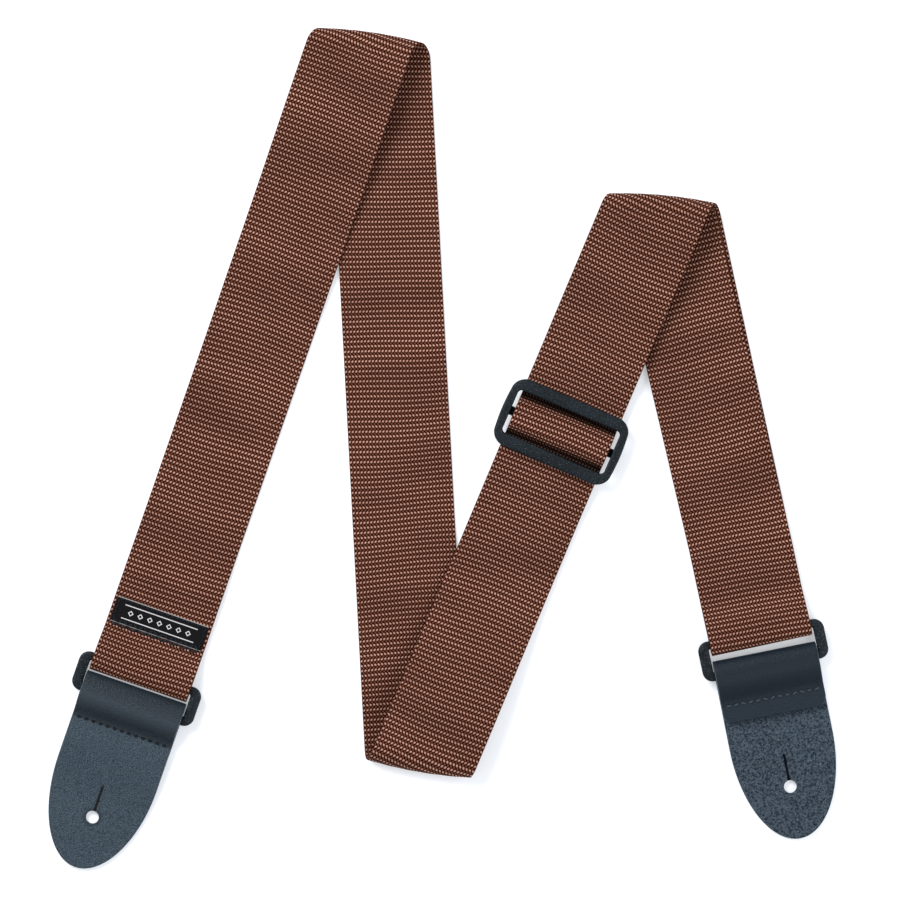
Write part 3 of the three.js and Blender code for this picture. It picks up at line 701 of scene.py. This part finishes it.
def make_webbing():
    k = Layout()
    band = Band()
    top, over, flat_z = k.top, k.over, lambda a, b: HALF + 0 * a
    root, slide, carry = "band", "slider_carriage", "loop_carriage"
    ring_a, ring_b = (np.array(RING_A_AT), LEG_ANGLES[0]), (np.array(RING_B_AT), -RING_B_TURN)
    at_slider = (k.slider, LEG_ANGLES[2])

    # Leg 1, from the loop sewn round ring A, to leg 2 and the lower part of leg 3.
    band.lay("webbing_loop_a", root, bent, loop_path(LOOP_A_REACH - HALF, LOOP_A_UNDER), *ring_a)
    from_fold = lambda d: smooth(d, 0, RAMP, top[0], over) - smooth(d, CLEAR, CLEAR + CLEAR_EASE, 0, LAYER)
    height = lambda a, b: from_fold(b) + smooth(a, 0, LOOP_A_EASE, LAYER, 0)
    band.lay("webbing_leg_1", root, leg, k.end_a, k.into[0], 1, height)
    band.lay("webbing_fold_1", root, roll, k.into[0], k.up[0], k.out[0], k.up[1], 1, top[0], HALF)
    band.lay("webbing_leg_2", root, leg, k.out[0], k.into[1], -1, flat_z)
    band.lay("webbing_fold_2", root, roll, k.into[1], k.up[1], k.out[1], k.up[2], -1, HALF, top[1])
    height = lambda a, b: smooth(a, 0, RAMP, top[1], over)
    near_fold = at3(k.out[1][0] + k.up[2] * BLEND_FROM_FOLD_2)
    low_blend = (root, slide, near_fold, at3(k.hump_low[0]))
    band.lay("webbing_leg_3_lower", low_blend, leg, k.out[1], k.hump_low, 1, height)

    # The hump over the slider's bars.
    over_bar = CENTRE_BAR_Z + CENTRE_BAR[1] / 2 + GAP + HALF
    hump_top = over_bar + LAYER + HUMP_SLACK
    path = sampled(-HUMP_BELOW, -CLIMB_LOW, 60, lambda y: smooth(y, -HUMP_BELOW + 2, -20, over, k.hump_z))
    path += sampled(-CLIMB_LOW, 0, 60, lambda y: smooth(-y, ROLL_FLAT, CLIMB_LOW, hump_top, k.hump_z))[1:]
    path += sampled(0, CLIMB, 60, lambda y: smooth(y, ROLL_FLAT, ROLL_DOWN, hump_top, k.hump_z))[1:]
    path += sampled(CLIMB, HUMP_ABOVE, 20, lambda y: k.hump_z)[1:]
    paint_groove_shade(band.lay("webbing_hump", slide, bent, path, *at_slider), k)

    # The upper part of leg 3, to leg 4 and the loop round ring B.
    blend_ends = (at3(k.hump_high[0]), at3(k.into[2][0] - k.up[2] * BLEND_FROM_FOLD_3))
    main_rise = k.rise(k.hump_z, top[2])
    height = lambda a, b: main_rise(b, a)
    band.lay("webbing_leg_3_upper", (slide, root, *blend_ends), leg, k.hump_high, k.into[2], 1, height)
    band.lay("webbing_fold_3", root, roll, k.into[2], k.up[2], k.out[2], k.up[3], 1, top[2], HALF)
    along4 = (at3(k.out[2][0] - k.up_b * BLEND_FROM_FOLD_4), at3(k.end_b[0]))
    band.lay("webbing_leg_4", (root, carry, *along4), leg, k.out[2], k.end_b, -1, flat_z)
    band.lay("webbing_loop_b", carry, bent, loop_path(LOOP_B_REACH - HALF, LOOP_LENGTH), *ring_b)

    # The return run, over leg 4, inside fold 3 and under leg 3, to the end sewn round the centre bar.
    return_in = (k.into[2][0] + k.into[2][1] * RETURN_SHIFT, k.into[2][1])
    over_4 = lambda a, b: over + 0 * a
    back_blend = (carry, root, *along4[::-1])
    band.lay("webbing_return_leg_4", back_blend, leg, k.end_b, return_in, 1, over_4)
    unit = lambda d: d / np.linalg.norm(d)
    d_in, d_out = unit(return_in[0] - k.end_b[0]), unit(k.hump_high[0] - k.into[2][0])
    inner = (return_in, d_in, k.into[2], d_out, 1, over, top[2] - LAYER)
    band.lay("webbing_return_fold", root, roll, *inner)
    height = k.rise(k.return_z, top[2] - LAYER)
    back_blend = (root, slide, *blend_ends[::-1])
    band.lay("webbing_return_leg_3", back_blend, leg, k.into[2], k.hump_high, -1, height)
    reach, room = CENTRE_BAR[0] / 2 + 3 * GAP + HALF, over_bar - CENTRE_BAR_Z
    low = CENTRE_BAR_Z - room
    path = sampled(HUMP_ABOVE, 0.1, 140, lambda y: smooth(y, BAR_FLAT, TAIL_CLIMB, over_bar, k.return_z))
    path += half_turn(CENTRE_BAR_Z, reach, room)
    path += sampled(0.1, TAIL_LENGTH, 100, lambda y: smooth(y, BAR_FLAT, TAIL_DOWN, low, TAIL_Z))
    band.lay("webbing_tail", slide, bent, path, *at_slider)


def paint_groove_shade(made, k):
    """Paints shade: a float attribute marks the webbing in the grooves beside the slider's outer bars, which
    the webbing material paints darker as shade.
    """
    co = np.array([v.co[:2] for v in made.data.vertices]) * 1000 - STRAP_AT - k.slider
    y = np.abs(co @ k.up[2])
    groove_shade = smooth(y, GROOVE - 2, GROOVE, 0, 1) - smooth(y, GROOVE_END, GROOVE_END + 2, 0, 1)
    held = made.data.attributes.new("groove_shade", "FLOAT", "POINT")
    held.data.foreach_set("value", groove_shade.astype(np.float32))


# ---- Hardware ----


def rounded_rectangle(width, height, radius, bulge, count):
    """count points round a rounded rectangle. bulge pushes the ends out in the middle."""
    x, y = width / 2 - radius, height / 2 - radius
    points = []
    for cx, cy, start in ((x, y, 0), (-x, y, 90), (-x, -y, 180), (x, -y, 270)):
        for a in np.radians(np.linspace(start, start + 90, count // 4 - 6)):
            points.append((cx + radius * math.cos(a), cy + radius * math.sin(a)))
        ax, ay = points[-1]
        nexts = {0: (-x, y + radius), 90: (-x - radius, -y), 180: (x, -y - radius), 270: (x + radius, y)}
        nx, ny = nexts[start]
        for t in np.linspace(0, 1, 8)[1:-1]:
            points.append((ax + (nx - ax) * t, ay + (ny - ay) * t))
    p = np.array(points)
    ends = np.abs(p[:, 0]) > x
    p[:, 0] += np.sign(p[:, 0]) * bulge * ends * (1 - (2 * p[:, 1] / height) ** 2)
    return p


def closed_frame(bm, outer, inner, thickness, z, steps=20):
    """A moulded frame between two outlines with as many points, its edges rounded."""
    a = np.linspace(0, 2 * np.pi, steps + 1)
    soft = 0.38
    cx = np.sign(np.cos(a)) * np.abs(np.cos(a)) ** soft
    cz = np.sign(np.sin(a)) * np.abs(np.sin(a)) ** soft
    outer, inner = np.vstack([outer, outer[:1]]), np.vstack([inner, inner[:1]])
    piece, i, j = grid(len(outer), steps + 1)
    p = inner[i] + (outer[i] - inner[i]) * (0.5 + 0.5 * cx[j])[:, None]
    height = z + cz[j] * thickness / 2
    for vert, q, h in zip(piece.verts, p.tolist(), height.tolist()):
        vert.co = (q[0] / 1000, q[1] / 1000, h / 1000)
    bmesh.ops.remove_doubles(piece, verts=piece.verts, dist=1e-6)
    mesh = bpy.data.meshes.new("part")
    piece.to_mesh(mesh)
    piece.free()
    bm.from_mesh(mesh)
    bpy.data.meshes.remove(mesh)


def bar(bm, length, depth, height, z):
    """A rounded bar along X."""
    made = bmesh.ops.create_cube(bm, size=1 / 1000)["verts"]
    bmesh.ops.scale(bm, verts=made, vec=(length, depth, height))
    bmesh.ops.translate(bm, verts=made, vec=(0, 0, z / 1000))
    around = {e for v in made for e in v.link_edges}
    edges = [e for e in around if abs(e.verts[0].co.x - e.verts[1].co.x) > 1e-5]
    bmesh.ops.bevel(bm, geom=edges, offset=1.1 / 1000, segments=5, profile=0.5, affect="EDGES", material=-1)


def turned(place, degrees):
    """The matrix of a frame on the surface, with its Y axis off the world's by the heading's degrees."""
    return Matrix.Translation(at3(place)) @ Matrix.Rotation(-math.radians(degrees), 4, "Z")


def settle(made, matrix, body, names, material_name):
    made.data.transform(matrix)
    made.data.materials.append(material(material_name))
    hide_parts(*names)
    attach(made, body)
    return made


def make_hardware():
    k = Layout()
    places = {"a": (RING_A_AT, LEG_ANGLES[0]), "b": (RING_B_AT, -RING_B_TURN)}
    for letter, (place, degrees) in places.items():
        bm = bmesh.new()
        outer = rounded_rectangle(*RING_SIZE, RING_CORNER, 0.0, 96)
        window = (RING_SIZE[0] - 2 * RING_END, RING_SIZE[1] - 2 * RING_BAR)
        inner = rounded_rectangle(*window, RING_WINDOW_CORNER, 0.0, 96)
        closed_frame(bm, outer, inner, RING_THICK, RING_Z)
        rib_x, rib_z = (RING_SIZE[0] - RING_END) / 2000, (RING_Z + RING_THICK / 2) / 1000
        for x in (-1, 1):
            for step in (-1, 0, 1):
                rib = bmesh.ops.create_uvsphere(bm, u_segments=16, v_segments=8, radius=1 / 1000)["verts"]
                bmesh.ops.scale(bm, verts=rib, vec=(1.3, 0.45, 0.3))
                bmesh.ops.translate(bm, verts=rib, vec=(x * rib_x, step * 1.7 / 1000, rib_z))
        made = new_object("ring_" + letter + "_moulding", bm)
        middle = Matrix.Translation((0, -RING_PITCH / 2000, 0))
        matrix = turned(place, degrees) @ middle
        settle(made, matrix, "ring_" + letter + "_body", ["ring_" + letter], "plastic")
    bm = bmesh.new()
    straight = SLIDER_SIZE[0] - 2 * SLIDER_BULGE
    outer = rounded_rectangle(straight, SLIDER_SIZE[1], SLIDER_CORNER, SLIDER_BULGE, 96)
    window = (SLIDER_SIZE[0] - 2 * SLIDER_END, SLIDER_SIZE[1] - 2 * SLIDER_BAR)
    inner = rounded_rectangle(*window, 2, 0.0, 96)
    closed_frame(bm, outer, inner, SLIDER_THICK, SLIDER_Z + SLIDER_THICK / 2)
    bar(bm, window[0] + SLIDER_END - 1, *CENTRE_BAR, CENTRE_BAR_Z)
    made = new_object("slider_moulding", bm)
    matrix = turned(k.slider, LEG_ANGLES[2] - SLIDER_TURN)
    settle(made, matrix, "slider_carriage", ["slider"], "plastic")


# ---- Leather ends ----


def leather_surface(reach, flap_under):
    """In the ring's outer bar's frame, the tip towards -Y. The strip starts at its flap's end."""
    room = LOOP_ROOM + LEATHER / 2
    low = LEATHER / 2
    high = low + LEATHER + GAP
    closed = LEATHER_CLOSED - reach
    flap_end = LEATHER_FLAP - reach
    tip = LEATHER_LENGTH - reach
    near, down = LEATHER_OVER_BAR, flap_end + LEATHER_EASE
    drop = high - low if flap_under else 0
    upper = lambda y: smooth(y, near, closed, RING_Z + room, high) - smooth(y, flap_end, down, 0, drop)
    top_end, under_end = (tip, flap_end) if flap_under else (flap_end, tip)
    path = sampled(top_end, 0.1, 220, upper)
    path += half_turn(RING_Z, reach - LEATHER / 2, room)
    path += sampled(0.1, under_end, 220, lambda y: low)
    path = np.array([(-y, z) for y, z in path])
    if flap_under:
        path = path[::-1]
    steps = np.linalg.norm(np.diff(path, axis=0), axis=1)
    run = np.concatenate([[0], np.cumsum(steps)])

    def surface(v, s):
        y = np.interp(s * run[-1], run, path[:, 0])
        z = np.interp(s * run[-1], run, path[:, 1])
        return np.column_stack([v, y, z]), y

    surface.length = run[-1]
    return surface


def leather_end(letter, reach, flap_under, matrix):
    surface = leather_surface(reach, flap_under)
    a = np.radians([75, 45, 15, -15, -45, -75])
    flat = np.linspace(-1, 1, 73) * 0.982
    corner = 0.982 + 0.018 * np.cos(a)
    sv = np.concatenate([flat, corner, flat[::-1], -corner, [-0.982]])
    sw = np.concatenate([0 * flat + 1, np.sin(a), 0 * flat - 1, -np.sin(a), [1]])

    def half_width(s):
        y = surface(np.zeros(len(s)), s)[1]
        past = np.clip((reach - y - LEATHER_STRAIGHT) / (LEATHER_LENGTH - LEATHER_STRAIGHT), 0, 1)
        tip = np.sqrt(np.maximum(1 - past**2, 0))
        flap_corner = np.clip(s * surface.length / CORNER, 0, 1)
        trim = CORNER * (1 - np.sqrt(1 - (1 - flap_corner) ** 2)) / (LEATHER_WIDTH / 2)
        return LEATHER_WIDTH / 2 * np.maximum(tip - trim, 0.002)

    def eased(v, s):
        return surface(v, 1 - (1 - s) ** 1.25)

    made = strip(
        "leather_end_" + letter + "_hide", eased, LEATHER, (sv, sw), 260, reach,
        half_width=lambda s: half_width(1 - (1 - s) ** 1.25),
    )
    made.data.transform(Matrix.Translation((-STRAP_AT[0] / 1000, -STRAP_AT[1] / 1000, 0)))
    bm = bmesh.new()
    hole = bmesh.ops.create_cone(
        bm, cap_ends=True, segments=40, radius1=BUTTON_HOLE / 2000, radius2=BUTTON_HOLE / 2000, depth=0.02
    )["verts"]
    bmesh.ops.translate(bm, verts=hole, vec=(0, (reach - HOLE_FROM_FOLD) / 1000, 0))
    length = HOLE_FROM_FOLD - SLIT_FROM_FOLD
    slit = bmesh.ops.create_cube(bm, size=1 / 1000)["verts"]
    bmesh.ops.scale(bm, verts=slit, vec=(LIPS_APART, length - 2, 20))
    bmesh.ops.translate(bm, verts=slit, vec=(0, (reach - SLIT_FROM_FOLD - length / 2 + 1) / 1000, 0))
    cutter = new_object("cutter", bm, False)
    cut = made.modifiers.new("cut", "BOOLEAN")
    cut.object = cutter
    cut.operation = "DIFFERENCE"
    cut.solver = "EXACT"
    cut.use_self = True
    bpy.context.view_layer.objects.active = made
    bpy.ops.object.modifier_apply(modifier="cut")
    bpy.data.objects.remove(cutter)
    mark_suede(made, surface, letter)
    made.data.transform(matrix)
    made.data.materials.append(material("leather"))
    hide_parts("leather_end_" + letter)
    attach(made, "leather_" + letter + "_body")
    return made


def mark_suede(made, surface, letter):
    """Marks the suede face, which is the inside of the fold, the cut edges, and end B's flap, which the
    leather material paints darker as shade.
    """
    mesh = made.data
    values = np.zeros(len(mesh.vertices))
    co = np.array([v.co for v in mesh.vertices]) * 1000
    s = np.linspace(0, 1, 600)
    middle = surface(np.zeros(600), s)[0]
    tangent = np.gradient(middle, axis=0)
    inward = np.column_stack([0 * s, -tangent[:, 2], tangent[:, 1]])
    inward /= np.linalg.norm(inward, axis=1)[:, None]
    if letter == "b":
        inward = -inward
    for start in range(0, len(co), 4000):
        block = co[start:start + 4000]
        apart = (block[:, None, 1] - middle[None, :, 1]) ** 2 + (block[:, None, 2] - middle[None, :, 2]) ** 2
        near = apart.argmin(axis=1)
        values[start:start + 4000] = ((block - middle[near]) * inward[near])[:, 1:].sum(axis=1)
    # Painted shade: on end B the upper layer's smooth face is marked to be painted darker.
    flap = (co[:, 2] > LEATHER + GAP / 2) * (values < -0.6) * 0.85 if letter == "b" else 0 * values
    cut = np.clip(1.6 - np.abs(values) / 0.7, 0, 1)
    for name, value in (("suede", values > -0.6), ("cut", cut), ("flap", flap)):
        attribute = mesh.attributes.new(name, "FLOAT", "POINT")
        attribute.data.foreach_set("value", value.astype(np.float32))


def stitch(bm, x, y, z, length, width, lean=0.0):
    """One thread's visible pass, sunk a little at its ends."""
    made = bmesh.ops.create_uvsphere(bm, u_segments=12, v_segments=8, radius=0.5 / 1000)["verts"]
    bmesh.ops.scale(bm, verts=made, vec=(length, width, width * 0.8))
    bmesh.ops.rotate(bm, verts=made, cent=(0, 0, 0), matrix=Matrix.Rotation(lean, 3, "Z"))
    bmesh.ops.translate(bm, verts=made, vec=(x / 1000, y / 1000, z / 1000))


def make_leather():
    ends = (
        ("a", LEATHER_A_REACH, True, RING_A_AT, LEG_ANGLES[0], 0),
        ("b", LEATHER_B_REACH, False, RING_B_AT, -RING_B_TURN, LEATHER_B_TURN),
    )
    passes = {"a": (1.7, 0.9, 0.0, "thread"), "b": (2.5, 1.3, 0.15, "worn_thread")}
    for letter, reach, flap_under, place, degrees, turn in ends:
        matrix = turned(place, degrees) @ Matrix.Translation((0, -RING_PITCH / 1000, 0))
        matrix = matrix @ Matrix.Rotation(math.radians(turn), 4, "Z")
        leather_end(letter, reach, flap_under, matrix)
        bm = bmesh.new()
        length, thick, proud, looks = passes[letter]
        y, z = reach - STITCH_FROM_FOLD, 2 * LEATHER + GAP + proud
        for i in range(STITCHES):
            x = (i - STITCHES // 2) * STITCH_PITCH
            stitch(bm, x, y, z, length, thick, 0.4 * math.sin(i * 2.3))
        made = new_object("leather_stitching_" + letter + "_threads", bm)
        body, node = "leather_" + letter + "_body", "leather_stitching_" + letter
        settle(made, matrix, body, [node], looks)


def make_label():
    z = HALF + LAYER + HALF + GAP / 2 + LABEL_THICK / 2
    bm, i, j = grid(97, 27)
    u = (i / 96 - 0.5) * LABEL_SIZE[0]
    v = (j / 26 - 0.5) * LABEL_SIZE[1]
    uv = bm.loops.layers.uv.new("cloth")
    for vert, x, y in zip(bm.verts, u, v):
        sag = 0.1 * math.sin(x / 3.1) * math.cos(y / 2.3)
        vert.co = (x / 1000, y / 1000, (z + sag) / 1000)
    for face in bm.faces:
        for loop in face.loops:
            loop[uv].uv = (loop.vert.co.x * 1000, loop.vert.co.y * 1000)
    bmesh.ops.solidify(bm, geom=bm.faces[:], thickness=LABEL_THICK / 1000 * 0.7)
    made = new_object("label_weave", bm)
    matrix = turned(RING_A_AT, LEG_ANGLES[0]) @ Matrix.Translation((0, LABEL_FROM_BAR / 1000, 0))
    settle(made, matrix, "band", ["label"], "label")
    bm = bmesh.new()
    x_end, y_end = LABEL_SIZE[0] / 2 - 1.3, LABEL_SIZE[1] / 2 - 1.1
    top = z + LABEL_THICK / 2 + 0.05
    count = 17
    for n in range(count):
        x = -x_end + 2 * x_end * (n + 0.5) / count
        stitch(bm, x, y_end, top, 2.2, 0.6, 0.05 * math.sin(n * 1.9))
        stitch(bm, x, -y_end, top, 3.0, 0.95, 0.5 if n % 2 else -0.5)
        stitch(bm, x, -y_end - 2.0, top - 0.35, 3.1, 1.1, -0.6 if n % 2 else 0.6)
    for n in range(4):
        y = -y_end + 2 * y_end * (n + 0.5) / 4
        for x in (-x_end, x_end):
            stitch(bm, x, y, top, 2.1, 0.6, math.pi / 2)
    made = new_object("label_threads", bm)
    settle(made, matrix, "band", ["label_stitching"], "thread")


def make_tail_stitching():
    k = Layout()
    bm = bmesh.new()
    for i in range(STITCHES):
        stitch(bm, (i - STITCHES // 2) * TAIL_STITCH_PITCH, TAIL_SEAM_AT, 0.2, 2.6, 0.34)
    made = new_object("tail_threads", bm)
    settle(made, turned(k.slider, LEG_ANGLES[2]), "slider_carriage", ["tail_stitching"], "thread")


def area_light(name, place, size, power, aim=(0, 0, 0)):
    data = bpy.data.lights.new(name, "AREA")
    data.shape = "RECTANGLE"
    data.size, data.size_y = size
    data.energy = power
    lamp = bpy.data.objects.new(name, data)
    lamp.location = place
    lamp.rotation_euler = (Vector(aim) - Vector(place)).to_track_quat("-Z", "Y").to_euler()
    bpy.context.collection.objects.link(lamp)


def make_stage():
    settings = bpy.context.scene.strap
    bm = bmesh.new()
    bmesh.ops.create_grid(bm, x_segments=8, y_segments=8, size=3.0)
    floor = new_object("floor", bm, False)
    floor.location.z = -0.0002
    n = Nodes("paper")
    n.set(base_color=(0.8, 0.84, 0.9, 1.0), roughness=0.9)
    n.shader.inputs["Emission Color"].default_value = (0.97, 0.985, 1.0, 1.0)
    n.shader.inputs["Emission Strength"].default_value = 0.33
    floor.data.materials.append(n.material)
    world = bpy.context.scene.world or bpy.data.worlds.new("studio")
    bpy.context.scene.world = world
    world.use_nodes = True
    world.node_tree.nodes["Background"].inputs["Color"].default_value = (1.0, 1.0, 1.0, 1.0)
    world.node_tree.nodes["Background"].inputs["Strength"].default_value = settings.ambient
    area_light("key", (-0.9, 0.9, 1.3), (0.9, 0.9), settings.key_power)
    area_light("fill", (1.2, -0.3, 1.1), (1.2, 1.2), settings.key_power * 0.4)
    camera = bpy.data.objects.new("camera", bpy.data.cameras.new("camera"))
    camera.location = (*CAMERA_OVER, CAMERA_HEIGHT)
    camera.data.sensor_width = SENSOR
    camera.data.lens = SENSOR * (CAMERA_HEIGHT - WEB_HEIGHT) / VIEW_WIDTH
    bpy.context.collection.objects.link(camera)
    bpy.context.scene.camera = camera
    bpy.context.scene.view_settings.view_transform = "Standard"


# ---- The add-on ----


class StrapSettings(bpy.types.PropertyGroup):
    weave_depth: bpy.props.FloatProperty(name="Weave depth (mm)", default=0.16, min=0, max=0.4)
    key_power: bpy.props.FloatProperty(name="Key light (W)", default=30, min=0)
    ambient: bpy.props.FloatProperty(name="Ambient light", default=0.55, min=0)


def operator(identifier, label, work):
    def execute(self, context):
        work()
        return {"FINISHED"}

    return type("STRAP_OT_" + identifier, (bpy.types.Operator,), {
        "bl_idname": "strap." + identifier,
        "bl_label": label,
        "bl_options": {"REGISTER", "UNDO"},
        "execute": execute,
    })


OPERATORS = [
    operator("webbing", "Webbing", make_webbing),
    operator("hardware", "Rings and slider", make_hardware),
    operator("leather", "Leather ends", make_leather),
    operator("label", "Label", make_label),
    operator("tail_stitching", "Hidden seam", make_tail_stitching),
    operator("stage", "Stage", make_stage),
]


class STRAP_PT_panel(bpy.types.Panel):
    bl_label = "Guitar Strap"
    bl_idname = "STRAP_PT_panel"
    bl_space_type = "VIEW_3D"
    bl_region_type = "UI"
    bl_category = "Strap"

    def draw(self, context):
        for name in ("weave_depth", "key_power", "ambient"):
            self.layout.prop(context.scene.strap, name)
        for made in OPERATORS:
            self.layout.operator(made.bl_idname)


CLASSES = [StrapSettings, *OPERATORS, STRAP_PT_panel]


def register():
    for made in CLASSES:
        bpy.utils.register_class(made)
    bpy.types.Scene.strap = bpy.props.PointerProperty(type=StrapSettings)


def unregister():
    del bpy.types.Scene.strap
    for made in reversed(CLASSES):
        bpy.utils.unregister_class(made)


def main():
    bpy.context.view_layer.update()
    register()
    for made in OPERATORS:
        getattr(bpy.ops.strap, made.bl_idname.split(".")[1])()
    bpy.context.view_layer.update()


if __name__ == "__main__":
    main()
